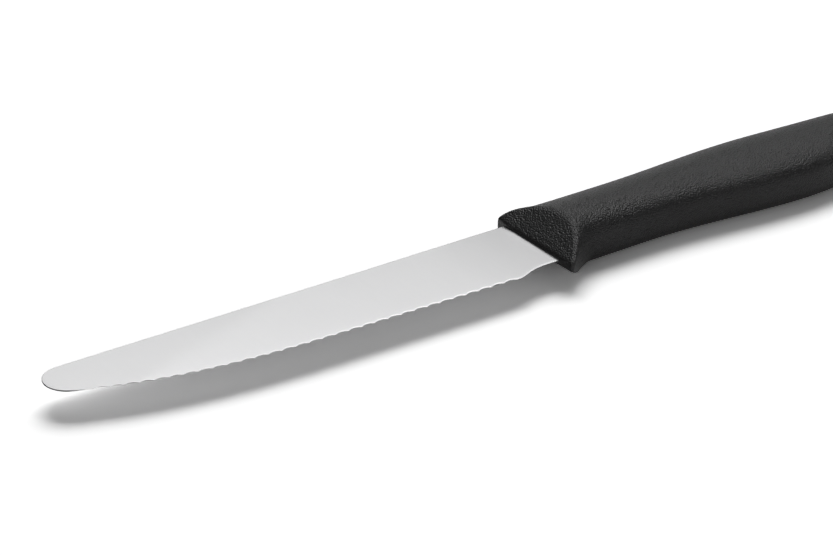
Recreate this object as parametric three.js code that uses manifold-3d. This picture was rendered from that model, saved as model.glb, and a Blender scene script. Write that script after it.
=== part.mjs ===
// Serrated table knife: a stamped steel blade with a hidden tang, and a plastic handle moulded around the tang.
// Millimetres, +Z up. The knife lies on its side: nose towards -X, butt towards +X, cutting edge towards -Y.
// The shapes are drawn with x = 0 at the front of the handle, y = 0 along the spine and z = 0 in the blade's middle.
import * as THREE from "three";
import { mergeVertices } from "three/addons/utils/BufferGeometryUtils.js";
import Module from "manifold-3d";

const wasm = await Module();
wasm.setup();

const { clamp, degToRad, lerp, smoothstep } = THREE.MathUtils;

// Blade outline
const bladeLength = 110.5; // nose to the front of the handle
const edgeWidth = 20.7; // spine to the tip of the last tooth
const heelWidth = 18.9; // spine to the lower edge where the blade enters the handle
const lastTooth = 11.9; // handle front to the last tooth
const edgeRise = degToRad(1.3); // the straight edge climbs towards the nose
const bellyRun = 52; // length of the curved edge behind the nose
const bellyEase = 24.5; // how long the curve keeps the straight edge's direction
const noseRadius = 5.35;
const chinAngle = degToRad(31); // direction of the edge where it meets the round nose
const chinEase = 12.2; // how long the curve keeps that direction
const toothPitch = 3.14; // at the heel
const toothTighten = 0.0093; // each pitch is this much shorter than the one behind it
const chinPlain = 3; // least plain edge under the nose
const gulletDepth = 0.58;
const choilRound = 3.5; // the edge runs on this far behind the last tooth, then turns up
const choilSweep = 8.3; // the turn ends this far in front of the handle
const heelFlare = 0.9; // the lower edge dips this much again towards the handle

// Blade thickness
const stripThickness = 1.1;
const spineThickness = 1.0;
const edgeThickness = 0.3;
const noseThickness = 0.34;
const taperRun = 55; // the spine thins towards the nose over this length
const grindStop = 0.4; // the grinding ends this far in front of the handle

// Tang
const shoulderDepth = 2.5; // the full heel width reaches this far into the handle
const tangLength = 72;
const tangWidth = 11;
const lockHolePlaces = [22, 50];
const lockHoleRadius = 2.5;
const tangClearance = 0.3; // gap all round the tang

// Handle outline, seen from the side
const handleLength = 104;
const noseOverhang = 2.35; // the front stands above the spine
const noseRun = 11.4;
const waistPlace = 28;
const waistRise = 0.5;
const waistDrop = 17.5;
const humpPlace = 57;
const humpRise = 2.3;
const palmPlace = 68;
const palmDrop = 21.2;
const buttRise = -0.7;
const buttDrop = 15.4;
const buttRound = 20;
const guardOverhang = 5.0; // the front hangs below the heel
const guardRun = 11.0;

// Handle section
const frontHalf = 5.9; // half of the thickness, at the front, the waist and the palm
const waistHalf = 5.6;
const palmHalf = 5.9;
const sectionPower = 2.4; // 2 is an ellipse, more is squarer
const buttPower = 2.6;
const flarePower = 1.26;
const crownShift = 5.2; // the thickest line lies this far towards the edge at the front
const crownRun = 29;
const frontSlope = degToRad(35.4); // the two front faces, from the blade's plane
const lipThickness = 2.4; // upright nose between the two front faces
const frontRound = 1.0;

// Fineness of the faceted surfaces
const curveSteps = 6;
const chinSteps = 4;
const handleSides = 40;
const handleRings = 38;
const pegSides = 24;
const margin = 2; // cutters reach this far past what they cut

// Solids: a closed three.js geometry becomes a solid that can be joined and cut, and back again
function solidOf(geometry) {
  geometry.deleteAttribute("normal");
  geometry.deleteAttribute("uv");
  const merged = mergeVertices(geometry);
  const vertProperties = new Float32Array(merged.attributes.position.array);
  const triVerts = new Uint32Array(merged.index.array);
  return new wasm.Manifold(new wasm.Mesh({ numProp: 3, vertProperties, triVerts }));
}

function geometryOf(solid) {
  const mesh = solid.getMesh();
  const geometry = new THREE.BufferGeometry();
  geometry.setAttribute("position", new THREE.BufferAttribute(mesh.vertProperties, 3));
  geometry.setIndex(new THREE.BufferAttribute(mesh.triVerts, 1));
  geometry.computeVertexNormals();
  return geometry;
}

// A plate is an outline in the blade's plane, thickened evenly to both sides
function plate(shape, thickness) {
  const geometry = new THREE.ExtrudeGeometry(shape, {
    depth: thickness,
    bevelEnabled: false,
    curveSegments: curveSteps,
  });
  geometry.translate(0, 0, -thickness / 2);
  return solidOf(geometry);
}

// A prism carries a polygon from one place to another along X, drawn in Y and Z, or along Y, drawn in X and Z
function prism(points, along, from, to) {
  const shape = new THREE.Shape(points.map(([a, b]) => new THREE.Vector2(a, b)));
  const geometry = new THREE.ExtrudeGeometry(shape, { depth: to - from, bevelEnabled: false });
  const axisX = new THREE.Vector3(1, 0, 0);
  const axisY = new THREE.Vector3(0, 1, 0);
  const axisZ = new THREE.Vector3(0, 0, 1);
  const turn = new THREE.Matrix4();
  if (along === "x") {
    turn.makeBasis(axisY, axisZ, axisX).setPosition(from, 0, 0);
  } else {
    turn.makeBasis(axisX, axisZ, axisY.negate()).setPosition(0, to, 0);
  }
  geometry.applyMatrix4(turn);
  return solidOf(geometry);
}

// Tang outline, also grown by a clearance for the pocket that holds it
const tangMiddle = (waistRise - waistDrop) / 2;

function addTang(shape, grow) {
  const radius = tangWidth / 2 + grow;
  const shoulder = shoulderDepth + grow;
  shape.lineTo(shoulder, -heelWidth - grow);
  shape.lineTo(shoulder, tangMiddle - radius);
  shape.absarc(tangLength - tangWidth / 2, tangMiddle, radius, -Math.PI / 2, Math.PI / 2);
  shape.lineTo(shoulder, tangMiddle + radius);
  shape.lineTo(shoulder, grow);
}

// Cutting edge: a straight run from the last tooth, then a curve up to the round nose
const noseCentre = new THREE.Vector2(noseRadius - bladeLength, -noseRadius);
const chinTurn = 1.5 * Math.PI - chinAngle;
const chin = new THREE.Vector2(Math.cos(chinTurn), Math.sin(chinTurn)).multiplyScalar(noseRadius).add(noseCentre);
const edgeEnd = new THREE.Vector2(-lastTooth, -edgeWidth);
const bellyX = chin.x + bellyRun;
const bellyStart = new THREE.Vector2(bellyX, -edgeWidth + (edgeEnd.x - bellyX) * Math.tan(edgeRise));

function ahead(from, angle, distance) {
  return new THREE.Vector2(from.x - distance * Math.cos(angle), from.y + distance * Math.sin(angle));
}

function edgePath() {
  const path = new THREE.CurvePath();
  path.add(new THREE.LineCurve(edgeEnd, bellyStart));
  const leaving = ahead(bellyStart, edgeRise, bellyEase);
  const arriving = ahead(chin, chinAngle, -chinEase);
  path.add(new THREE.CubicBezierCurve(bellyStart, leaving, arriving, chin));
  return path;
}

// The teeth are points on that path, counted from the heel, with a rounded gullet cut between each two
function toothPlaces(length) {
  const places = [0];
  let pitch = toothPitch;
  while (places.at(-1) + pitch < length - chinPlain) {
    places.push(places.at(-1) + pitch);
    pitch -= toothTighten;
  }
  return places;
}

function addTeeth(shape) {
  const path = edgePath();
  const length = path.getLength();
  const teeth = toothPlaces(length).map((place) => place / length);
  for (let step = 1; step <= chinSteps; step += 1) {
    const point = path.getPoint(lerp(1, teeth.at(-1), step / chinSteps));
    shape.lineTo(point.x, point.y);
  }
  for (let tooth = teeth.length - 2; tooth >= 0; tooth -= 1) {
    const near = path.getPoint(teeth[tooth]);
    const far = path.getPoint(teeth[tooth + 1]);
    const across = near.clone().sub(far).normalize();
    const bottom = near.clone().add(far).multiplyScalar(0.5);
    bottom.add(new THREE.Vector2(-across.y, across.x).multiplyScalar(2 * gulletDepth));
    shape.quadraticCurveTo(bottom.x, bottom.y, near.x, near.y);
  }
}

function bladeOutline() {
  const shape = new THREE.Shape();
  shape.moveTo(shoulderDepth, 0);
  shape.lineTo(noseCentre.x, 0);
  shape.absarc(noseCentre.x, noseCentre.y, noseRadius, Math.PI / 2, chinTurn);
  addTeeth(shape);
  shape.bezierCurveTo(choilRound - lastTooth, -edgeWidth, -choilSweep, heelFlare - heelWidth, 0, -heelWidth);
  addTang(shape, 0);
  for (const place of lockHolePlaces) {
    const hole = new THREE.Path();
    hole.absarc(place, tangMiddle, lockHoleRadius, 0, 2 * Math.PI, true);
    shape.holes.push(hole);
  }
  return shape;
}

// Grinding: each cheek is one plane from the spine to the edge, and a second one thins the nose
function grind(side) {
  const top = stripThickness / 2 + margin;
  const low = -edgeWidth - margin;
  const cheekSlope = (spineThickness - edgeThickness) / 2 / edgeWidth;
  const cheek = (y) => spineThickness / 2 + cheekSlope * y;
  const tip = -bladeLength - margin;
  const taperSlope = (spineThickness - noseThickness) / 2 / taperRun;
  const taper = (x) => noseThickness / 2 + taperSlope * (x + bladeLength);
  const taperEnd = (top - noseThickness / 2) / taperSlope - bladeLength;
  const cheekPoints = [[margin, cheek(margin)], [margin, top], [low, top], [low, cheek(low)]];
  const taperPoints = [[tip, taper(tip)], [taperEnd, top], [tip, top]];
  const turned = (points) => points.map(([a, b]) => [a, side * b]);
  const cheekCut = prism(turned(cheekPoints), "x", tip, -grindStop);
  const taperCut = prism(turned(taperPoints), "y", low, margin);
  return cheekCut.add(taperCut);
}

function makeBlade() {
  const strip = plate(bladeOutline(), stripThickness);
  return strip.subtract(grind(1)).subtract(grind(-1));
}

// Handle: its spine, belly, thickness and crown lines, each worked out from the distance behind the front
function flare(x, run) {
  return Math.pow(clamp(1 - x / run, 0, 1), flarePower);
}

function wave(x, crestPlace, atWaist, atCrest, atButt) {
  if (x < crestPlace) {
    return lerp(atWaist, atCrest, smoothstep(x, waistPlace, crestPlace));
  }
  return lerp(atCrest, atButt, smoothstep(x, crestPlace, handleLength));
}

function handleLines(x) {
  const spine = wave(x, humpPlace, waistRise, humpRise, buttRise) + (noseOverhang - waistRise) * flare(x, noseRun);
  const guardFlare = heelWidth + guardOverhang - waistDrop;
  const belly = -wave(x, palmPlace, waistDrop, palmDrop, buttDrop) - guardFlare * flare(x, guardRun);
  const half = wave(x, palmPlace, waistHalf, palmHalf, palmHalf) + (frontHalf - waistHalf) * flare(x, waistPlace);
  const middle = (spine + belly) / 2;
  const crown = middle - crownShift * flare(x, crownRun);
  const buttPart = clamp(1 + (x - handleLength) / buttRound, 0, 1);
  const closing = Math.pow(1 - Math.pow(buttPart, buttPower), 1 / buttPower);
  const roundPart = clamp(1 - x / frontRound, 0, 1);
  const inset = frontRound * (1 - Math.sqrt(1 - roundPart * roundPart));
  return {
    spine: lerp(middle, spine - inset, closing),
    belly: lerp(middle, belly + inset, closing),
    crown: lerp(middle, crown, closing),
    half: half * closing,
  };
}

// A section is two half superellipses, one towards the spine and one towards the belly, that meet at the crown
function handlePoint(x, around) {
  const { spine, belly, crown, half } = handleLines(x);
  const bend = (value) => Math.sign(value) * Math.pow(Math.abs(value), 2 / sectionPower);
  const across = bend(Math.cos(around));
  const y = across > 0 ? lerp(crown, spine, across) : lerp(crown, belly, -across);
  return new THREE.Vector3(x, y, half * bend(Math.sin(around)));
}

// The grip is a sphere's net of rings and sides, with each ring moved to its section of the handle
function handleBody() {
  const geometry = new THREE.SphereGeometry(1, handleSides, handleRings);
  const { position, uv } = geometry.attributes;
  const frontRing = 2;
  for (let index = 0; index < position.count; index += 1) {
    const ring = Math.floor(index / (handleSides + 1));
    const sweep = (Math.PI * (ring - frontRing)) / (handleRings - frontRing);
    const x = ring < frontRing ? -margin : (handleLength * (1 - Math.cos(sweep))) / 2;
    const point = handlePoint(x, -2 * Math.PI * uv.getX(index));
    if (ring === 0) {
      point.set(-margin, tangMiddle, 0);
    }
    position.setXYZ(index, point.x, point.y, point.z);
  }
  return solidOf(geometry);
}

// What the two sloped front faces and the upright lip leave standing
function frontShape() {
  const reach = 2 * (palmHalf + frontHalf);
  const lip = lipThickness / 2;
  const slopeEnd = (reach - lip) / Math.tan(frontSlope);
  const back = handleLength + slopeEnd;
  const low = -edgeWidth - palmDrop;
  const points = [[0, -lip], [slopeEnd, -reach], [back, -reach], [back, reach], [slopeEnd, reach], [0, lip]];
  return prism(points, "y", low, edgeWidth);
}

function tangPocket() {
  const shape = new THREE.Shape();
  shape.moveTo(-margin, tangClearance);
  shape.lineTo(-margin, -heelWidth - tangClearance);
  addTang(shape, tangClearance);
  return plate(shape, stripThickness + 2 * tangClearance);
}

// Plastic that has flowed through a hole in the tang
function lockPeg(place) {
  const height = stripThickness + 2 * tangClearance + margin;
  const geometry = new THREE.CylinderGeometry(
    lockHoleRadius - tangClearance, lockHoleRadius - tangClearance, height, pegSides,
  );
  geometry.rotateX(Math.PI / 2);
  geometry.translate(place, tangMiddle, 0);
  return solidOf(geometry);
}

function makeHandle() {
  let handle = handleBody().intersect(frontShape()).subtract(tangPocket());
  for (const place of lockHolePlaces) {
    handle = handle.add(lockPeg(place));
  }
  return handle;
}

const satinSteel = new THREE.MeshStandardMaterial({ color: 0xd6d8da, roughness: 0.32, metalness: 1 });
const blackPlastic = new THREE.MeshStandardMaterial({ color: 0x232324, roughness: 0.62, metalness: 0 });

function piece(name, solid, material) {
  const mesh = new THREE.Mesh(geometryOf(solid), material);
  mesh.name = name;
  return mesh;
}

const knife = new THREE.Group();
knife.add(piece("blade", makeBlade(), satinSteel));
knife.add(piece("handle", makeHandle(), blackPlastic));

// The origin is under the middle of the knife, on the surface it lies on
const box = new THREE.Box3().setFromObject(knife);
const middle = box.getCenter(new THREE.Vector3());
knife.position.set(-middle.x, -middle.y, -box.min.z);

export default knife;
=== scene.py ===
import math

import bpy
import numpy as np
from mathutils import Matrix, Vector


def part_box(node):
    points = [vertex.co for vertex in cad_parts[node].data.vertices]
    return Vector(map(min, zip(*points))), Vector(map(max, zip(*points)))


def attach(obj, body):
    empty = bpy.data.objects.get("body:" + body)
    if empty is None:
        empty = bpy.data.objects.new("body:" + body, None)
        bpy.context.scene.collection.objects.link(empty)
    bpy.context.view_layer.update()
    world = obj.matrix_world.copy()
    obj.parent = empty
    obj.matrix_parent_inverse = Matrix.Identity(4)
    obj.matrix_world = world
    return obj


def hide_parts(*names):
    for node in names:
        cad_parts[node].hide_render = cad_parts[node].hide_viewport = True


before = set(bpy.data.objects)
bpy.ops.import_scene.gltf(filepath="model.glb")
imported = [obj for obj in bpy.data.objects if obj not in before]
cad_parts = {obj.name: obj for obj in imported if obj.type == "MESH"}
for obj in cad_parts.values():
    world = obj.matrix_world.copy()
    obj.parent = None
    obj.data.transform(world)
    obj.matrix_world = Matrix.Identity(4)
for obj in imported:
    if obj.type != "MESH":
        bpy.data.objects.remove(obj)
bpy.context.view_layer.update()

MM = 0.001
TINY = 1e-6  # keeps divisions away from zero

# Blade outline
EDGE_WIDTH = 20.9  # spine to the tip of the last tooth
HEEL_WIDTH = 18.9  # spine to the lower edge where the blade enters the handle
LAST_TOOTH = 11.9  # handle front to the last tooth
EDGE_RISE = math.radians(1.3)  # the straight edge climbs towards the nose
BELLY_RUN = 52.0  # length of the curved edge behind the nose
BELLY_EASE = 24.5  # how long the curve keeps the straight edge's direction
NOSE_RADIUS = 5.2
CHIN_ANGLE = math.radians(31.0)  # direction of the edge where it meets the round nose
CHIN_EASE = 12.2  # how long the curve keeps that direction
TOOTH_PITCH = 3.14  # at the heel
TOOTH_TIGHTEN = 0.0093  # each pitch is this much shorter than the one behind it
TOOTH_COUNT = 31
GULLET_DEPTH = 0.58
GULLET_REACH = 3.0  # the cheek is drawn in with a gullet as far as this from the edge
CHOIL_ROUND = 3.8  # the edge runs on this far behind the last tooth, then turns up
CHOIL_SWEEP = 8.3  # the turn ends this far in front of the handle
HEEL_FLARE = 0.55  # the lower edge dips this much again towards the handle
SPINE_BOW = 0.27  # the spine sags this much in the middle

# Blade thickness
STRIP_THICKNESS = 1.1
SPINE_THICKNESS = 1.0
EDGE_THICKNESS = 0.3
NOSE_THICKNESS = 0.34
TAPER_RUN = 55.0  # the spine thins towards the nose over this length
GRIND_BLEND = 0.02  # softness of the line where the wedge meets the taper
GRIND_STOP = 0.5  # inside the handle the grind runs out between these two places
GRIND_RUN_OUT = 1.2
SPINE_ROUND = 0.1
EDGE_ROUND = 0.07  # where the rim is as stamped
KEEN_ROUND = 0.02  # where the edge is ground
KEEN_THICKNESS = 0.07
DULL_NOSE = 0.5  # the grinding of the edge starts this far in front of the chin
KEEN_CHIN = 3.5  # and is whole this far behind it
DULL_HEEL = 1.0  # it fades out over this length in front of the handle
ROLL_WIDTH = 0.8  # strip of the upper cheek that rolls down to the edge
ROLL_DROP = 0.04
FACET_WIDTH = 0.9  # strip of the lower cheek that the grinding takes off
FACET_ROOM = 2.5  # the strip narrows where the steel is less wide than this

# Tang
SHOULDER_DEPTH = 2.5  # the full heel width reaches this far into the handle
TANG_LENGTH = 72.0
TANG_WIDTH = 11.0
TANG_MIDDLE = -8.5
LOCK_HOLE_FIRST = 22.0
LOCK_HOLE_STEP = 28.0
LOCK_HOLE_COUNT = 2
LOCK_HOLE_RADIUS = 2.5
DRILL_HEIGHT = 4.4
MOULD_GAP = 0.02  # between the steel and the plastic
FORMER_REACH = 3.0  # the former of the tang's pocket stands this far out of the handle

# Handle outline, seen from the side
HANDLE_LENGTH = 104.0
NOSE_OVERHANG = 2.35  # the front stands above the spine
NOSE_RUN = 11.4
WAIST_PLACE = 28.0
WAIST_RISE = 1.3
WAIST_DROP = 16.8
HUMP_PLACE = 57.0
PALM_PLACE = 68.0
PALM_DROP = 19.9
BUTT_RISE = -0.7
BUTT_DROP = 15.4
BUTT_ROUND = 20.0
GUARD_OVERHANG = 5.0  # the front hangs below the heel
GUARD_RUN = 11.0

# Handle section: a power of 2 is an ellipse and more is squarer, first towards the spine, then the edge
FRONT_HALF = 5.9  # half of the thickness
WAIST_HALF = 5.6
PALM_HALF = 5.9
FRONT_POWERS = (2.0, 2.7)
CORNER_POWER = 0.9  # squarer towards the spine near the front
CORNER_RUN = 7.0
PALM_POWERS = (2.2, 3.0)
BUTT_POWER = 2.6
FLARE_POWER = 1.26
FRONT_CROWN = -2.0  # the thickest line lies this far above the middle
PALM_CROWN = 1.2
FRONT_SLOPE = math.radians(35.2)  # the two front faces, from the blade's plane
FRONT_LEAN = 0.0185  # the front leans back towards the spine
LIP_THICKNESS = 1.8  # upright lip between the two front faces
LIP_FOLD = 0.2
CORNER_LIP = 0.7  # the lip grows by this on each side towards the spine
CORNER_LIP_RUN = 4.0
RIM_ROUND = 0.6
TOP_CORNER_ROUND = 0.35
GUARD_CORNER_ROUND = 1.15
FRONT_GRAIN = 0.38  # depth of the front faces' grain, against the grip's
GRAIN_START = 0.65  # the lip's grain starts this far inside its rim
GRAIN_WHOLE = 0.2  # and is whole here

# Fineness of the meshes
STRAIGHT_STEPS = 200
BELLY_STEPS = 1500
STEPS_PER_TOOTH = 16
CHOIL_STEPS = 28
CHIN_STEPS = 12
NOSE_STEPS = 28
TANG_STEPS = 12
ROUND_STEPS = 4
CHEEK_SHARES = (0.002, 0.03, 0.12, 0.25, 0.4, 0.55, 0.68, 0.78, 0.855, 0.905, 0.94, 0.965)
FACET_SHARES = (0, 0.1, 0.3, 0.5, 0.7, 0.9)
DRILL_SIDES = 40
HANDLE_SIDES = 120
FRONT_ROWS = 22
RIM_ROWS = 7
RIM_PASSES = 30  # times that the rim's place is worked out anew
GRIP_ROWS = 170
GRIP_EASE = 1.6  # the rows draw together towards the butt
BLADE_MERGE = 0.004
HANDLE_MERGE = 0.002

# Steel
STEEL_TONES = ((0.59, 0.59, 0.594), (0.61, 0.61, 0.614))
# Painted shade near the handle: a darker steel tone stands in for the dark handle mirrored in the blade
HEEL_SHADE_TONE = (0.515, 0.515, 0.519)
HEEL_SHADE_RUN = 20.0  # painted shade: the steel is painted darker towards the heel over this length, standing in for the handle's dark reflection
RIM_TONE = (0.26, 0.26, 0.26)
RIM_SHARES = (1.0, 1.0, 0.4)  # bareness of the rim's rows, from the outermost inwards
RIM_ROUGHNESS = 0.6
STEEL_ROUGHNESS = (0.35, 0.41)
STROKE_STRETCH = (1.0, 0.05, 1.0)  # the strokes of the grinding run across the blade
STROKE_SPAN = (0.3, 0.7)
STROKE_DEPTH = 0.002
STROKE_STRENGTH = 0.4

# Plastic
PLASTIC_TONES = ((0.0045, 0.0045, 0.0046), (0.0075, 0.0075, 0.0077))
PLASTIC_ROUGHNESS = (0.3, 0.39)  # on the pebbles and in the valleys
PLASTIC_SPECULAR = 0.55
GRAIN_DEPTH = 0.13
GRAIN_DRIFT = 0.6  # scale of the noise that moves the pebbles, against their own
PEBBLE_SOFTNESS = 0.2
PEBBLE_SLOPE = 1.25
VALLEY_SPAN = (0.35, 0.75)

# Floor and room
FLOOR_HALF = 3.0  # metres
PAPER_TONES = ((0.88, 0.88, 0.88), (0.92, 0.92, 0.92))
PAPER_MIRRORED = (0.95, 0.95, 0.95)
PAPER_SEEN = (1.8, 1.8, 1.8)
ROOM_TONE = (0.07, 0.07, 0.07)
ROOM_SEEN = (1.0, 1.0, 1.0)
LAMP_DISTANCE = 1.2  # metres

# Camera, turned from -Y
IMAGE_WIDTH = 833
FOCAL_PIXELS = 3200.0
VIEW_TURN = math.radians(-35.831)
VIEW_RISE = math.radians(25.910)
VIEW_DISTANCE = 635.373
VIEW_TARGET = (-28.133, -9.072, 0.483)

# Where the drawing lies in the frame
blade_low, blade_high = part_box("blade")
handle_low, handle_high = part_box("handle")
drawing_origin = Vector((
    handle_high.x - HANDLE_LENGTH * MM,
    blade_high.y,
    (handle_low.z + handle_high.z) / 2,
))
BLADE_LENGTH = (drawing_origin.x - blade_low.x) / MM
HUMP_RISE = (handle_high.y - drawing_origin.y) / MM


def placed(points):
    """Drawing points, in millimetres, as frame points in metres."""
    return np.asarray(points, float) * MM + np.array(drawing_origin)


def lerp(start, end, part):
    return start + (end - start) * part


def smoothstep(value, low, high):
    part = np.clip((value - low) / (high - low), 0, 1)
    return part * part * (3 - 2 * part)


# Meshes
def new_piece(name, points, faces):
    mesh = bpy.data.meshes.new(name)
    mesh.from_pydata(points.tolist(), [], faces)
    mesh.validate()
    mesh.shade_smooth()
    piece = bpy.data.objects.new(name, mesh)
    bpy.context.scene.collection.objects.link(piece)
    return piece


def keep_values(piece, name, values):
    """Stores a number or a direction on each point of a piece."""
    values = np.asarray(values, float)
    kind = "FLOAT" if values.ndim == 1 else "FLOAT_VECTOR"
    field = "value" if values.ndim == 1 else "vector"
    attribute = piece.data.attributes.new(name, kind, "POINT")
    attribute.data.foreach_set(field, values.ravel())


def merge_points(piece, distance):
    """Merges the points of a piece that lie closer than a distance, and turns all its faces outwards."""
    bpy.context.view_layer.objects.active = piece
    for other in bpy.context.selected_objects:
        other.select_set(False)
    piece.select_set(True)
    bpy.ops.object.mode_set(mode="EDIT")
    bpy.ops.mesh.select_all(action="SELECT")
    bpy.ops.mesh.remove_doubles(threshold=distance)
    bpy.ops.mesh.dissolve_degenerate(threshold=distance / 10)
    bpy.ops.mesh.normals_make_consistent(inside=False)
    bpy.ops.object.mode_set(mode="OBJECT")
    piece.data.shade_smooth()


def net_faces(columns, rows, closed):
    """Quads between neighbouring columns of points, which close round into loops if asked."""
    faces = []
    for column in range(columns - 1):
        for row in range(rows if closed else rows - 1):
            after = (row + 1) % rows
            near = column * rows
            far = near + rows
            faces.append((near + row, near + after, far + after, far + row))
    return faces


# Blade: upright columns from the spine to the edge, counted from the end of the tang to the nose
def bezier(points, parts):
    first, second, third, last = (np.array(point) for point in points)
    part = np.asarray(parts)[:, None]
    rest = 1 - part
    return rest**3 * first + 3 * rest**2 * part * second + 3 * rest * part**2 * third + part**3 * last


def ahead(point, angle, distance):
    return (point[0] - distance * math.cos(angle), point[1] + distance * math.sin(angle))


nose_centre = np.array((NOSE_RADIUS - BLADE_LENGTH, -NOSE_RADIUS))
chin_turn = 1.5 * math.pi - CHIN_ANGLE
chin = nose_centre + NOSE_RADIUS * np.array((math.cos(chin_turn), math.sin(chin_turn)))
edge_end = np.array((-LAST_TOOTH, -EDGE_WIDTH))
belly_x = chin[0] + BELLY_RUN
belly_start = np.array((belly_x, -EDGE_WIDTH + (edge_end[0] - belly_x) * math.tan(EDGE_RISE)))


def edge_track():
    """Close points along the cutting edge, from the last tooth to the chin, and how far along each one is."""
    straight = lerp(edge_end, belly_start, np.linspace(0, 1, STRAIGHT_STEPS)[:, None])
    leaving = ahead(belly_start, EDGE_RISE, BELLY_EASE)
    arriving = ahead(chin, CHIN_ANGLE, -CHIN_EASE)
    curve = bezier((belly_start, leaving, arriving, chin), np.linspace(0, 1, BELLY_STEPS))
    track = np.vstack((straight, curve[1:]))
    steps = np.linalg.norm(np.diff(track, axis=0), axis=1)
    return track, np.concatenate(([0], np.cumsum(steps)))


def tooth_place(number):
    return number * (TOOTH_PITCH + TOOTH_TIGHTEN / 2) - TOOTH_TIGHTEN * number**2 / 2


def edge_columns():
    """Lower ends of the blade's columns: their points, and their places along the cutting edge, or -1."""
    choil_curve = (
        (0, -HEEL_WIDTH),
        (-CHOIL_SWEEP, HEEL_FLARE - HEEL_WIDTH),
        (CHOIL_ROUND - LAST_TOOTH, -EDGE_WIDTH),
        (-LAST_TOOTH, -EDGE_WIDTH),
    )
    choil = bezier(choil_curve, np.linspace(0, 1, CHOIL_STEPS + 1))[:-1]
    track, reach = edge_track()
    numbers = np.arange(TOOTH_COUNT * STEPS_PER_TOOTH + 1) / STEPS_PER_TOOTH
    teeth = tooth_place(numbers)
    plain = np.linspace(teeth[-1], reach[-1], CHIN_STEPS + 1)[1:]
    along = np.concatenate((teeth, plain))
    edge = np.column_stack((np.interp(along, reach, track[:, 0]), np.interp(along, reach, track[:, 1])))
    turns = np.linspace(chin_turn, math.pi, NOSE_STEPS + 1)[1:]
    nose = nose_centre + NOSE_RADIUS * np.column_stack((np.cos(turns), np.sin(turns)))
    points = np.vstack((choil, edge, nose))
    places = np.concatenate((np.full(len(choil), -1.0), along, np.full(len(nose), -1.0)))
    return points, places


def outward(points):
    """Directions square to a track of points that runs from the heel to the nose, away from the steel."""
    way = np.gradient(points, axis=0)
    way /= np.linalg.norm(way, axis=1)[:, None]
    return np.column_stack((-way[:, 1], way[:, 0]))


def spine_over(x):
    """The spine point straight above each place, and the direction away from the steel."""
    lean = np.clip((x - nose_centre[0]) / NOSE_RADIUS, -1, 0)
    out = np.column_stack((lean, np.sqrt(1 - lean**2)))
    points = nose_centre + NOSE_RADIUS * out
    points[:, 0] = x
    points[:, 1] -= SPINE_BOW * np.sin(math.pi * x / BLADE_LENGTH) ** 2
    return points, out


def tang_columns():
    """Columns of the tang and the heel inside the handle: spine ends, edge ends and their directions."""
    radius = TANG_WIDTH / 2
    turns = np.linspace(math.pi / 2, 0, TANG_STEPS + 1)
    round_x = TANG_LENGTH - radius + radius * np.sin(turns)
    run_x = np.linspace(TANG_LENGTH - radius, SHOULDER_DEPTH, TANG_STEPS)[1:]
    heel_x = np.linspace(SHOULDER_DEPTH, 0, TANG_STEPS)[:-1]
    x = np.concatenate((round_x, run_x, heel_x))
    lean = np.concatenate((np.sin(turns), np.zeros(len(run_x) + len(heel_x))))
    half = np.concatenate((radius * np.cos(turns), np.full(len(run_x), radius)))
    spine = np.concatenate((TANG_MIDDLE + half, np.zeros(len(heel_x))))
    edge = np.concatenate((TANG_MIDDLE - half, np.full(len(heel_x), -HEEL_WIDTH)))
    upright = np.sqrt(1 - lean**2)
    spine_out = np.column_stack((lean, upright))
    edge_out = np.column_stack((lean, -upright))
    return np.column_stack((x, spine)), np.column_stack((x, edge)), spine_out, edge_out


def half_thickness(points):
    """Half of the steel's thickness: a wedge from the spine to the edge, thinner towards the nose."""
    x = points[..., 0]
    y = points[..., 1]
    wedge = SPINE_THICKNESS / 2 + (SPINE_THICKNESS - EDGE_THICKNESS) / 2 / EDGE_WIDTH * y
    taper = NOSE_THICKNESS / 2 + (SPINE_THICKNESS - NOSE_THICKNESS) / 2 / TAPER_RUN * (x + BLADE_LENGTH)
    apart = wedge - taper
    ground = (wedge + taper - np.sqrt(apart**2 + GRIND_BLEND**2) + GRIND_BLEND) / 2
    ground = np.minimum(ground, np.minimum(wedge, taper))
    return lerp(ground, STRIP_THICKNESS / 2, smoothstep(x, GRIND_STOP, GRIND_RUN_OUT))


def sharpened(x):
    """How far the edge is ground sharp: not round the nose, and all along the teeth and the choil."""
    behind_chin = smoothstep(x, chin[0] - DULL_NOSE, chin[0] + KEEN_CHIN)
    return behind_chin * (1 - smoothstep(x, -DULL_HEEL, 0))


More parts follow.
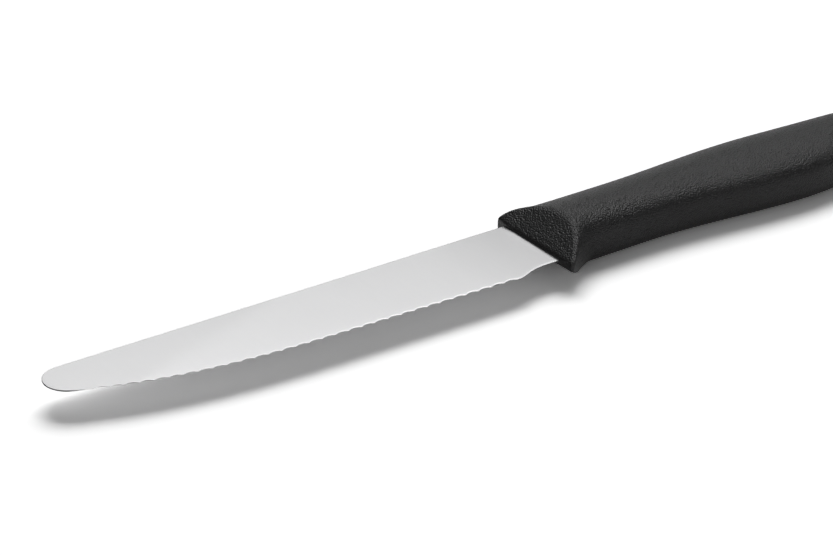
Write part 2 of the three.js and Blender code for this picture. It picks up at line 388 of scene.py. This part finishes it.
def blade_net(grow):
    """The steel's points, column by column, each a loop over the upper cheek and back under the lower one."""
    edge, along = edge_columns()
    edge_out = outward(edge)
    spine, spine_out = spine_over(edge[:, 0])
    edge_out[-1] = spine_out[-1]
    tang_spine, tang_edge, tang_spine_out, tang_edge_out = tang_columns()
    spine = np.vstack((tang_spine, spine))
    edge = np.vstack((tang_edge, edge))
    spine_out = np.vstack((tang_spine_out, spine_out))
    edge_out = np.vstack((tang_edge_out, edge_out))
    along = np.concatenate((np.full(len(tang_edge), -1.0), along))
    spine = spine + grow * spine_out
    edge = edge + grow * edge_out

    turns = np.linspace(0, math.pi / 2, ROUND_STEPS)
    inset = 1 - np.cos(turns)
    drop = 1 - np.sin(turns)
    sharp = sharpened(edge[:, 0])
    edge_round = lerp(EDGE_ROUND, KEEN_ROUND, sharp)
    rolled_off = sharp * ROLL_DROP * smoothstep(edge[:, 0], -BLADE_LENGTH, -LAST_TOOTH)
    ground_away = sharp * (2 * half_thickness(edge) - KEEN_THICKNESS) - rolled_off
    room = np.clip(np.linalg.norm(spine - edge, axis=1) / FACET_ROOM, 0, 1)
    rows = []
    for part in range(ROUND_STEPS):
        place = spine - spine_out * SPINE_ROUND * inset[part]
        height = half_thickness(place) + grow - SPINE_ROUND * drop[part]
        rows.append((place, height, -height))
    top = rows[-1][0]
    low = edge - edge_out * np.maximum(edge_round, FACET_WIDTH * room)[:, None]
    for part in CHEEK_SHARES:
        place = lerp(top, low, part)
        height = half_thickness(place) + grow
        rows.append((place, height, -height))
    rim = edge - edge_out * edge_round[:, None]
    edge_rows = [(lerp(low, rim, part), 0) for part in FACET_SHARES]
    for part in reversed(range(ROUND_STEPS)):
        edge_rows.append((edge - edge_out * (edge_round * inset[part])[:, None], drop[part]))
    for place, fall in edge_rows:
        apart = np.linalg.norm(place - edge, axis=1)
        height = half_thickness(place) + grow - edge_round * fall
        rolling = rolled_off * np.clip(1 - apart / ROLL_WIDTH, 0, 1) ** 2
        grinding = ground_away * np.clip(1 - apart / FACET_WIDTH, 0, 1)
        rows.append((place, height - rolling, grinding - height))

    upper = np.stack([np.column_stack((place, over)) for place, over, _ in rows], axis=1)
    lower = np.stack([np.column_stack((place, under)) for place, _, under in reversed(rows)], axis=1)
    net = np.concatenate((upper, lower), axis=1)
    return net, edge, edge_out, along


def blanked_rim(edge, rows):
    """How much of each point lies on the bare stamped rim, which the grinding of the edge leaves out."""
    at_edge = 1 - sharpened(edge[:, 0])
    rim = np.zeros((len(edge), rows))
    sides = rows // 2
    for part, amount in enumerate(RIM_SHARES):
        for spine_row, edge_row in ((part, sides - 1 - part), (rows - 1 - part, sides + part)):
            rim[:, spine_row] = amount
            rim[:, edge_row] = amount * at_edge
    return rim


def make_blade():
    net, edge, edge_out, along = blade_net(0)
    columns, rows, _ = net.shape
    blade = new_piece("blade_steel", placed(net.reshape(-1, 3)), net_faces(columns, rows, True))
    depth = np.linalg.norm(net[:, :, :2] - edge[:, None], axis=2)
    pull = np.clip(1 - depth / GULLET_REACH, 0, 1) ** 2
    inward = np.repeat(-edge_out[:, None], rows, axis=1)
    inward = np.concatenate((inward, np.zeros((columns, rows, 1))), axis=2)
    keep_values(blade, "along_edge", np.repeat(along * MM, rows))
    keep_values(blade, "edge_pull", pull.ravel())
    keep_values(blade, "inward", inward.reshape(-1, 3))
    keep_values(blade, "blanked_rim", blanked_rim(edge, rows).ravel())
    merge_points(blade, BLADE_MERGE * MM)
    return blade


def make_tang_former():
    """The shape that the hidden steel leaves in the plastic, a hair larger than the steel."""
    net, _, _, _ = blade_net(MOULD_GAP)
    net = net[net[:, :, 0].max(axis=1) > -FORMER_REACH]
    columns, rows, _ = net.shape
    faces = net_faces(columns, rows, True)
    front = (columns - 1) * rows
    for row in range(rows // 2 - 1):
        faces.append((front + row, front + row + 1, front + rows - 2 - row, front + rows - 1 - row))
    former = new_piece("tang_former", placed(net.reshape(-1, 3)), faces)
    merge_points(former, BLADE_MERGE * MM)
    return former


# Handle: sections that follow its spine, belly, thickness and crown lines
def flare(x, run):
    return np.clip(1 - x / run, 0, 1) ** FLARE_POWER


def wave(x, crest_place, at_waist, at_crest, at_butt):
    rising = lerp(at_waist, at_crest, smoothstep(x, WAIST_PLACE, crest_place))
    falling = lerp(at_crest, at_butt, smoothstep(x, crest_place, HANDLE_LENGTH))
    return np.where(x < crest_place, rising, falling)


def handle_lines(x):
    """Heights of the spine, the belly and the thickest line, and half of the thickness there."""
    spine = wave(x, HUMP_PLACE, WAIST_RISE, HUMP_RISE, BUTT_RISE)
    spine = spine + (NOSE_OVERHANG - WAIST_RISE) * flare(x, NOSE_RUN)
    guard_flare = HEEL_WIDTH + GUARD_OVERHANG - WAIST_DROP
    belly = -wave(x, PALM_PLACE, WAIST_DROP, PALM_DROP, BUTT_DROP) - guard_flare * flare(x, GUARD_RUN)
    half = wave(x, PALM_PLACE, WAIST_HALF, PALM_HALF, PALM_HALF)
    half = half + (FRONT_HALF - WAIST_HALF) * flare(x, WAIST_PLACE)
    middle = (spine + belly) / 2
    crown = middle + lerp(FRONT_CROWN, PALM_CROWN, smoothstep(x, 0, PALM_PLACE))
    butt_part = np.clip(1 + (x - HANDLE_LENGTH) / BUTT_ROUND, 0, 1)
    closing = (1 - butt_part**BUTT_POWER) ** (1 / BUTT_POWER)
    return (
        lerp(middle, spine, closing),
        lerp(middle, belly, closing),
        lerp(middle, crown, closing),
        half * closing,
    )


def bend(value, power):
    return np.sign(value) * np.abs(value) ** (2 / power)


def section(x, around):
    """Place across and height of the skin at a distance behind the front, and its outward direction there."""
    spine, belly, crown, half = handle_lines(x)
    back = smoothstep(x, 0, PALM_PLACE)
    spine_power = lerp(FRONT_POWERS[0], PALM_POWERS[0], back) + CORNER_POWER * flare(x, CORNER_RUN)
    belly_power = lerp(FRONT_POWERS[1], PALM_POWERS[1], back)
    power = np.where(np.cos(around) > 0, spine_power, belly_power)
    across = bend(np.cos(around), power)
    tall = bend(np.sin(around), power)
    side = np.where(across > 0, spine - crown, crown - belly)
    y = crown + side * across
    z = half * tall
    steep = power - 1
    out_y = np.sign(across) * np.abs(across) ** steep / np.maximum(side, TINY)
    out_z = np.sign(tall) * np.abs(tall) ** steep / np.maximum(half, TINY)
    size = np.maximum(np.hypot(out_y, out_z), TINY)
    return y, z, out_y / size, out_z / size


def front_face(y, z):
    """How far behind the handle's foremost point its lip and sloped front faces lie."""
    lip = LIP_THICKNESS / 2 + CORNER_LIP * smoothstep(y, -CORNER_LIP_RUN, NOSE_OVERHANG)
    past = np.abs(z) - lip
    slope = (past + np.hypot(past, LIP_FOLD)) / 2 / math.tan(FRONT_SLOPE)
    return slope + FRONT_LEAN * np.maximum(y + HEEL_WIDTH + GUARD_OVERHANG, 0)


def handle_net():
    """The skin's points, column by column: up the front face, over its rim and along the grip to the butt."""
    around = 2 * math.pi * np.arange(2 * HANDLE_SIDES) / (2 * HANDLE_SIDES)
    corner = np.where(np.cos(around) > 0, TOP_CORNER_ROUND, GUARD_CORNER_ROUND)
    rim = lerp(RIM_ROUND, corner, np.cos(around) ** 2)
    rim_rows = []
    for turn in np.linspace(0, math.pi / 2, RIM_ROWS):
        inset = rim * (1 - math.sin(turn))
        behind = rim * (1 - math.cos(turn))
        x = np.array(behind)
        for _ in range(RIM_PASSES):
            y, z, out_y, out_z = section(x, around)
            x = front_face(y - inset * out_y, z - inset * out_z) + behind
        rim_rows.append(np.column_stack((x, y - inset * out_y, z - inset * out_z)))
    first = rim_rows[0]
    front_rows = []
    for part in np.linspace(0, 1, FRONT_ROWS)[:-1]:
        z = first[:, 2] * part
        front_rows.append(np.column_stack((front_face(first[:, 1], z), first[:, 1], z)))
    start = rim_rows[-1][:, 0]
    grip_rows = []
    for part in np.linspace(0, 1, GRIP_ROWS)[1:]:
        eased = 1 - (1 - part) ** GRIP_EASE
        x = lerp(start, HANDLE_LENGTH, eased)
        y, z, _, _ = section(x, around)
        grip_rows.append(np.column_stack((x, y, z)))
    return np.stack(front_rows + rim_rows + grip_rows, axis=1)


def make_handle_skin():
    net = handle_net()
    columns, rows, _ = net.shape
    net = np.concatenate((net, net[:1]))
    skin = new_piece("handle_grip", placed(net.reshape(-1, 3)), net_faces(columns + 1, rows, False))
    lip = LIP_THICKNESS / 2
    lip_part = smoothstep(np.abs(net[:, :, 2]), lip - GRAIN_START, lip - GRAIN_WHOLE)
    on_front = np.arange(rows) < FRONT_ROWS - 1
    grain = np.where(on_front[None, :], FRONT_GRAIN * lip_part, 1)
    keep_values(skin, "grain_amount", grain.ravel())
    merge_points(skin, HANDLE_MERGE * MM)
    return skin


# Node trees
def add_node(tree, kind, **settings):
    node = tree.nodes.new(kind)
    for name, value in settings.items():
        setattr(node, name, value)
    return node


def join(tree, value, socket):
    """Links a socket to another, or sets it to a plain value."""
    if isinstance(value, bpy.types.NodeSocket):
        tree.links.new(value, socket)
    else:
        socket.default_value = value


def work_out(tree, operation, *values):
    node = add_node(tree, "ShaderNodeMath", operation=operation)
    for value, socket in zip(values, node.inputs):
        join(tree, value, socket)
    return node.outputs[0]


def remap(tree, value, from_low, from_high, to_low, to_high):
    node = add_node(tree, "ShaderNodeMapRange")
    for number, socket in zip((value, from_low, from_high, to_low, to_high), node.inputs):
        join(tree, number, socket)
    return node.outputs[0]


def stored(tree, name, kind):
    """The values kept under a name on the points of a geometry."""
    node = add_node(tree, "GeometryNodeInputNamedAttribute", data_type=kind)
    join(tree, name, node.inputs["Name"])
    return node.outputs["Attribute"]


def new_tree(name, kind, inputs, outputs):
    tree = bpy.data.node_groups.new(name, kind)
    for label, socket_type, value in inputs:
        socket = tree.interface.new_socket(name=label, in_out="INPUT", socket_type="NodeSocket" + socket_type)
        if value is not None:
            socket.default_value = value
    for label, socket_type in outputs:
        tree.interface.new_socket(name=label, in_out="OUTPUT", socket_type="NodeSocket" + socket_type)
    entry = add_node(tree, "NodeGroupInput")
    leaving = add_node(tree, "NodeGroupOutput")
    return tree, entry.outputs, leaving.inputs


def run_tree(piece, tree, **values):
    """Puts a tree's result in place of a piece's mesh. Names hold _ where the inputs hold a space."""
    modifier = piece.modifiers.new(tree.name, "NODES")
    modifier.node_group = tree
    for item in tree.interface.items_tree:
        if item.in_out == "INPUT" and item.name.replace(" ", "_") in values:
            modifier[item.identifier] = values[item.name.replace(" ", "_")]
    graph = bpy.context.evaluated_depsgraph_get()
    made = bpy.data.meshes.new_from_object(piece.evaluated_get(graph))
    piece.modifiers.clear()
    before = piece.data
    piece.data = made
    bpy.data.meshes.remove(before)
    made.name = piece.name


HOLE_INPUTS = (
    ("First hole", "Vector", None),
    ("Hole step", "Float", 0.0),
    ("Hole count", "Int", 1),
    ("Hole radius", "Float", 0.0),
    ("Hole height", "Float", 0.0),
)


def lock_holes_tree():
    """Cuts a row of round holes through the tang."""
    inputs = (("Geometry", "Geometry", None), *HOLE_INPUTS)
    tree, given, made = new_tree("lock_holes", "GeometryNodeTree", inputs, (("Geometry", "Geometry"),))
    step = add_node(tree, "ShaderNodeCombineXYZ")
    join(tree, given["Hole step"], step.inputs["X"])
    row = add_node(tree, "GeometryNodeMeshLine", mode="OFFSET")
    join(tree, given["Hole count"], row.inputs["Count"])
    join(tree, given["First hole"], row.inputs["Start Location"])
    join(tree, step.outputs[0], row.inputs["Offset"])
    drill = add_node(tree, "GeometryNodeMeshCylinder")
    join(tree, DRILL_SIDES, drill.inputs["Vertices"])
    join(tree, given["Hole radius"], drill.inputs["Radius"])
    join(tree, given["Hole height"], drill.inputs["Depth"])
    drills = add_node(tree, "GeometryNodeInstanceOnPoints")
    join(tree, row.outputs["Mesh"], drills.inputs["Points"])
    join(tree, drill.outputs["Mesh"], drills.inputs["Instance"])
    solid_drills = add_node(tree, "GeometryNodeRealizeInstances")
    join(tree, drills.outputs[0], solid_drills.inputs[0])
    cut = add_node(tree, "GeometryNodeMeshBoolean", operation="DIFFERENCE", solver="EXACT")
    join(tree, given["Geometry"], cut.inputs["Mesh 1"])
    join(tree, solid_drills.outputs[0], cut.inputs["Mesh 2"])
    join(tree, cut.outputs["Mesh"], made["Geometry"])
    return tree


def drilled(tree, given, lock_holes, geometry):
    """A geometry with the lock holes cut in it, as the tree's own inputs place them."""
    holes = add_node(tree, "GeometryNodeGroup", node_tree=lock_holes)
    join(tree, geometry, holes.inputs["Geometry"])
    for label, _, _ in HOLE_INPUTS:
        join(tree, given[label], holes.inputs[label])
    return holes.outputs[0]


def end_tree(tree, given, made, geometry):
    """Hands a geometry out of its tree as one real mesh in its finish."""
    whole = add_node(tree, "GeometryNodeRealizeInstances")
    join(tree, geometry, whole.inputs[0])
    finished = add_node(tree, "GeometryNodeSetMaterial")
    join(tree, whole.outputs[0], finished.inputs["Geometry"])
    join(tree, given["Finish"], finished.inputs["Material"])
    join(tree, finished.outputs[0], made["Geometry"])


def scallops_tree(lock_holes):
    """Grinds the row of gullets into the cutting edge, then cuts the holes in the tang."""
    inputs = (
        ("Geometry", "Geometry", None),
        ("Tooth pitch", "Float", 0.0),
        ("Pitch step", "Float", 0.0),
        ("Tooth count", "Int", 1),
        ("Gullet depth", "Float", 0.0),
        *HOLE_INPUTS,
        ("Finish", "Material", None),
    )
    tree, given, made = new_tree("scalloped_edge", "GeometryNodeTree", inputs, (("Geometry", "Geometry"),))
    # Number of the tooth at a place along the edge, from the sum of the shrinking pitches
    place = work_out(tree, "MAXIMUM", stored(tree, "along_edge", "FLOAT"), 0.0)
    half_step = work_out(tree, "MULTIPLY", given["Pitch step"], 0.5)
    even_pitch = work_out(tree, "ADD", given["Tooth pitch"], half_step)
    squared = work_out(tree, "MULTIPLY", even_pitch, even_pitch)
    lost = work_out(tree, "MULTIPLY", work_out(tree, "MULTIPLY", given["Pitch step"], place), 2.0)
    root = work_out(tree, "SQRT", work_out(tree, "MAXIMUM", work_out(tree, "SUBTRACT", squared, lost), 0.0))
    number = work_out(tree, "DIVIDE", work_out(tree, "SUBTRACT", even_pitch, root), given["Pitch step"])
    # A parabola between each tooth tip and the next
    on_teeth = work_out(tree, "LESS_THAN", number, given["Tooth count"])
    phase = work_out(tree, "FRACT", number)
    other = work_out(tree, "SUBTRACT", 1.0, phase)
    hollow = work_out(tree, "MULTIPLY", work_out(tree, "MULTIPLY", phase, other), 4.0)
    depth = work_out(tree, "MULTIPLY", work_out(tree, "MULTIPLY", hollow, on_teeth), given["Gullet depth"])
    move = work_out(tree, "MULTIPLY", depth, stored(tree, "edge_pull", "FLOAT"))
    way = add_node(tree, "ShaderNodeVectorMath", operation="SCALE")
    join(tree, stored(tree, "inward", "FLOAT_VECTOR"), way.inputs[0])
    join(tree, move, way.inputs["Scale"])
    ground = add_node(tree, "GeometryNodeSetPosition")
    join(tree, given["Geometry"], ground.inputs["Geometry"])
    join(tree, way.outputs[0], ground.inputs["Offset"])
    end_tree(tree, given, made, drilled(tree, given, lock_holes, ground.outputs[0]))
    return tree


def tang_pocket_tree(lock_holes):
    """Moulds the plastic round the tang: the former, with the lock holes in it, is taken out of the skin."""
    inputs = (
        ("Geometry", "Geometry", None),
        ("Former", "Object", None),
        *HOLE_INPUTS,
        ("Finish", "Material", None),
    )
    tree, given, made = new_tree("tang_pocket", "GeometryNodeTree", inputs, (("Geometry", "Geometry"),))
    former = add_node(tree, "GeometryNodeObjectInfo")
    join(tree, given["Former"], former.inputs["Object"])
    cut = add_node(tree, "GeometryNodeMeshBoolean", operation="DIFFERENCE", solver="EXACT")
    join(tree, given["Geometry"], cut.inputs["Mesh 1"])
    join(tree, drilled(tree, given, lock_holes, former.outputs["Geometry"]), cut.inputs["Mesh 2"])
    end_tree(tree, given, made, cut.outputs["Mesh"])
    return tree


# Finishes
def mottle_group():
    """Uneven tone in two sizes, as an even field of values round one half."""
    inputs = (
        ("Place", "Vector", None),
        ("Broad scale", "Float", 50.0),
        ("Fine scale", "Float", 1000.0),
        ("Fine share", "Float", 0.5),
    )
    tree, given, made = new_tree("mottle", "ShaderNodeTree", inputs, (("Value", "Float"),))
    tones = []
    for label, detail in (("Broad scale", 3.0), ("Fine scale", 2.0)):
        noise = add_node(tree, "ShaderNodeTexNoise")
        join(tree, given["Place"], noise.inputs["Vector"])
        join(tree, given[label], noise.inputs["Scale"])
        join(tree, detail, noise.inputs["Detail"])
        tones.append(noise.outputs["Fac"])
    mixed = add_node(tree, "ShaderNodeMix", data_type="FLOAT")
    join(tree, given["Fine share"], mixed.inputs[0])
    join(tree, tones[0], mixed.inputs[2])
    join(tree, tones[1], mixed.inputs[3])
    join(tree, mixed.outputs[0], made["Value"])
    return tree


def pebble_group():
    """Moulded leather grain: rounded pebbles of uneven size with narrow valleys between them."""
    inputs = (
        ("Place", "Vector", None),
        ("Cells per metre", "Float", 2000.0),
        ("Wander", "Float", 0.0002),
        ("Amount", "Float", 1.0),
    )
    outputs = (("Height", "Float"), ("Valley", "Float"))
    tree, given, made = new_tree("pebble_grain", "ShaderNodeTree", inputs, outputs)
    drift = add_node(tree, "ShaderNodeTexNoise")
    join(tree, given["Place"], drift.inputs["Vector"])
    join(tree, work_out(tree, "MULTIPLY", given["Cells per metre"], GRAIN_DRIFT), drift.inputs["Scale"])
    centred = add_node(tree, "ShaderNodeVectorMath", operation="SUBTRACT")
    join(tree, drift.outputs["Color"], centred.inputs[0])
    join(tree, (0.5, 0.5, 0.5), centred.inputs[1])
    pushed = add_node(tree, "ShaderNodeVectorMath", operation="SCALE")
    join(tree, centred.outputs[0], pushed.inputs[0])
    join(tree, given["Wander"], pushed.inputs["Scale"])
    moved = add_node(tree, "ShaderNodeVectorMath", operation="ADD")
    join(tree, given["Place"], moved.inputs[0])
    join(tree, pushed.outputs[0], moved.inputs[1])
    cells = add_node(tree, "ShaderNodeTexVoronoi", feature="SMOOTH_F1")
    join(tree, moved.outputs[0], cells.inputs["Vector"])
    join(tree, given["Cells per metre"], cells.inputs["Scale"])
    join(tree, PEBBLE_SOFTNESS, cells.inputs["Smoothness"])
    slope = work_out(tree, "MULTIPLY", cells.outputs["Distance"], PEBBLE_SLOPE)
    dome = work_out(tree, "SUBTRACT", 1.0, work_out(tree, "MULTIPLY", slope, slope))
    join(tree, work_out(tree, "MULTIPLY", dome, given["Amount"]), made["Height"])
    valley = remap(tree, cells.outputs["Distance"], *VALLEY_SPAN, 0.0, 1.0)
    join(tree, work_out(tree, "MULTIPLY", valley, given["Amount"]), made["Valley"])
    return tree


def new_material(name):
    material = bpy.data.materials.new(name)
    material.use_nodes = True
    tree = material.node_tree
    shader = tree.nodes["Principled BSDF"]
    place = add_node(tree, "ShaderNodeTexCoord").outputs["Object"]
    return material, tree, shader, place


def use_group(tree, group, **values):
    """The outputs of a group. Names hold _ where the group's inputs hold a space."""
    node = add_node(tree, "ShaderNodeGroup", node_tree=group)
    for name, value in values.items():
        join(tree, value, node.inputs[name.replace("_", " ")])
    return node.outputs


def blend_colours(tree, part, first, second):
    node = add_node(tree, "ShaderNodeMix", data_type="RGBA")
    join(tree, part, node.inputs[0])
    for colour, socket in ((first, node.inputs[6]), (second, node.inputs[7])):
        join(tree, colour if isinstance(colour, bpy.types.NodeSocket) else (*colour, 1.0), socket)
    return node.outputs[2]


def bump(tree, height, distance, strength=1.0):
    node = add_node(tree, "ShaderNodeBump")
    join(tree, height, node.inputs["Height"])
    join(tree, distance, node.inputs["Distance"])
    join(tree, strength, node.inputs["Strength"])
    return node.outputs[0]


def satin_steel(mottle):
    material, tree, shader, place = new_material("satin_steel")
    tone = use_group(tree, mottle, Place=place, Broad_scale=90.0, Fine_scale=1500.0, Fine_share=0.35)["Value"]
    across = add_node(tree, "ShaderNodeMapping")
    join(tree, place, across.inputs["Vector"])
    join(tree, STROKE_STRETCH, across.inputs["Scale"])
    strokes = use_group(
        tree, mottle, Place=across.outputs[0], Broad_scale=1200.0, Fine_scale=5000.0, Fine_share=0.5
    )["Value"]
    rim = add_node(tree, "ShaderNodeAttribute", attribute_name="blanked_rim").outputs["Fac"]
    polished = blend_colours(tree, tone, *STEEL_TONES)
    along = add_node(tree, "ShaderNodeSeparateXYZ")
    join(tree, place, along.inputs[0])
    # Painted shade: the steel is painted darker towards the handle, in place of the handle's dark reflection
    front = drawing_origin.x
    heel_shade_part = remap(tree, along.outputs["X"], front - HEEL_SHADE_RUN * MM, front, 0.0, 1.0)
    ground = blend_colours(tree, heel_shade_part, polished, HEEL_SHADE_TONE)
    join(tree, blend_colours(tree, rim, ground, RIM_TONE), shader.inputs["Base Color"])
    smooth = remap(tree, strokes, *STROKE_SPAN, *STEEL_ROUGHNESS)
    rough = work_out(tree, "MULTIPLY", rim, RIM_ROUGHNESS)
    join(tree, work_out(tree, "MAXIMUM", smooth, rough), shader.inputs["Roughness"])
    shader.inputs["Metallic"].default_value = 1.0
    join(tree, bump(tree, strokes, STROKE_DEPTH * MM, STROKE_STRENGTH), shader.inputs["Normal"])
    return material


def grained_plastic(mottle, pebbles):
    material, tree, shader, place = new_material("grained_plastic")
    amount = add_node(tree, "ShaderNodeAttribute", attribute_name="grain_amount").outputs["Fac"]
    tone = use_group(tree, mottle, Place=place, Broad_scale=120.0, Fine_scale=2600.0, Fine_share=0.5)["Value"]
    grain = use_group(tree, pebbles, Place=place, Cells_per_metre=3000.0, Wander=0.0001, Amount=amount)
    join(tree, blend_colours(tree, tone, *PLASTIC_TONES), shader.inputs["Base Color"])
    join(tree, remap(tree, grain["Valley"], 0.0, 1.0, *PLASTIC_ROUGHNESS), shader.inputs["Roughness"])
    shader.inputs["Specular IOR Level"].default_value = PLASTIC_SPECULAR
    join(tree, bump(tree, grain["Height"], GRAIN_DEPTH * MM), shader.inputs["Normal"])
    return material


def floor_finish(mottle):
    """White paper, which the camera sees brighter than the knife does."""
    material, tree, shader, place = new_material("white_floor")
    tone = use_group(tree, mottle, Place=place, Broad_scale=3.0, Fine_scale=40.0, Fine_share=0.5)["Value"]
    paper = blend_colours(tree, tone, *PAPER_TONES)
    path = add_node(tree, "ShaderNodeLightPath").outputs
    mirrored = work_out(tree, "MAXIMUM", path["Is Glossy Ray"], path["Is Transmission Ray"])
    white = blend_colours(tree, mirrored, paper, PAPER_MIRRORED)
    join(tree, blend_colours(tree, path["Is Camera Ray"], white, PAPER_SEEN), shader.inputs["Base Color"])
    shader.inputs["Roughness"].default_value = 0.9
    shader.inputs["Specular IOR Level"].default_value = 0.0
    return material


mottle = mottle_group()
pebbles = pebble_group()
steel = satin_steel(mottle)
plastic = grained_plastic(mottle, pebbles)

# Pieces
lock_holes = lock_holes_tree()
first_hole = placed((LOCK_HOLE_FIRST, TANG_MIDDLE, 0))
hole_values = {
    "First_hole": tuple(first_hole),
    "Hole_step": LOCK_HOLE_STEP * MM,
    "Hole_count": LOCK_HOLE_COUNT,
    "Hole_height": DRILL_HEIGHT * MM,
}

blade = make_blade()
run_tree(
    blade,
    scallops_tree(lock_holes),
    Tooth_pitch=TOOTH_PITCH * MM,
    Pitch_step=TOOTH_TIGHTEN * MM,
    Tooth_count=TOOTH_COUNT,
    Gullet_depth=GULLET_DEPTH * MM,
    Hole_radius=LOCK_HOLE_RADIUS * MM,
    Finish=steel,
    **hole_values,
)

handle = make_handle_skin()
former = make_tang_former()
run_tree(
    handle,
    tang_pocket_tree(lock_holes),
    Former=former,
    Hole_radius=(LOCK_HOLE_RADIUS - MOULD_GAP) * MM,
    Finish=plastic,
    **hole_values,
)
bpy.data.objects.remove(former)

for piece, node, slot in ((blade, "blade", "blade_steel"), (handle, "handle", "handle_plastic")):
    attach(piece, "root")
    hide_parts(node)

# Floor
floor_points = np.array(((-1, -1, 0), (1, -1, 0), (1, 1, 0), (-1, 1, 0)), float) * FLOOR_HALF
floor = new_piece("floor", floor_points, [(0, 1, 2, 3)])
floor.data.materials.append(floor_finish(mottle))

# Camera
back = Vector((
    math.sin(VIEW_TURN) * math.cos(VIEW_RISE),
    -math.cos(VIEW_TURN) * math.cos(VIEW_RISE),
    math.sin(VIEW_RISE),
))
right = Vector((math.cos(VIEW_TURN), math.sin(VIEW_TURN), 0))
up = back.cross(right)
camera_data = bpy.data.cameras.new("camera")
camera_data.sensor_fit = "HORIZONTAL"
camera_data.sensor_width = 36.0
camera_data.lens = FOCAL_PIXELS * camera_data.sensor_width / IMAGE_WIDTH
camera_data.clip_start = 0.01
camera_data.clip_end = 50.0
camera = bpy.data.objects.new("camera", camera_data)
turned = Matrix((right, up, back)).transposed().to_4x4()
camera.matrix_world = Matrix.Translation(Vector(placed(VIEW_TARGET)) + back * VIEW_DISTANCE * MM) @ turned
bpy.context.scene.collection.objects.link(camera)
bpy.context.scene.camera = camera


# Light: soft boxes round the knife
def soft_box(name, turn, rise, width, height, brightness):
    """A lamp turned from +X and raised, in degrees, and sized in metres. A brightness of 1 looks white."""
    lamp = bpy.data.lights.new(name, "AREA")
    lamp.shape = "RECTANGLE"
    lamp.size = width
    lamp.size_y = height
    lamp.energy = brightness * math.pi * width * height
    box = bpy.data.objects.new(name, lamp)
    turn = math.radians(turn)
    rise = math.radians(rise)
    way = Vector((math.cos(rise) * math.cos(turn), math.cos(rise) * math.sin(turn), math.sin(rise)))
    aimed = (-way).to_track_quat("-Z", "Y").to_matrix().to_4x4()
    box.matrix_world = Matrix.Translation(way * LAMP_DISTANCE) @ aimed
    box.visible_camera = False
    bpy.context.scene.collection.objects.link(box)


def studio_world():
    """A dim room that the camera sees as white."""
    world = bpy.data.worlds.new("studio")
    world.use_nodes = True
    tree = world.node_tree
    seen = add_node(tree, "ShaderNodeLightPath").outputs["Is Camera Ray"]
    tone = blend_colours(tree, seen, ROOM_TONE, ROOM_SEEN)
    join(tree, tone, tree.nodes["Background"].inputs["Color"])
    return world


soft_box("overhead_box", turn=60, rise=69, width=0.8, height=0.6, brightness=3.35)
soft_box("back_box", turn=45, rise=45, width=1.2, height=0.6, brightness=2.05)
soft_box("side_box", turn=215, rise=17, width=1.8, height=0.5, brightness=1.5)
soft_box("right_box", turn=315, rise=12, width=0.9, height=0.3, brightness=0.45)
bpy.context.scene.world = studio_world()
bpy.context.scene.view_settings.view_transform = "Standard"
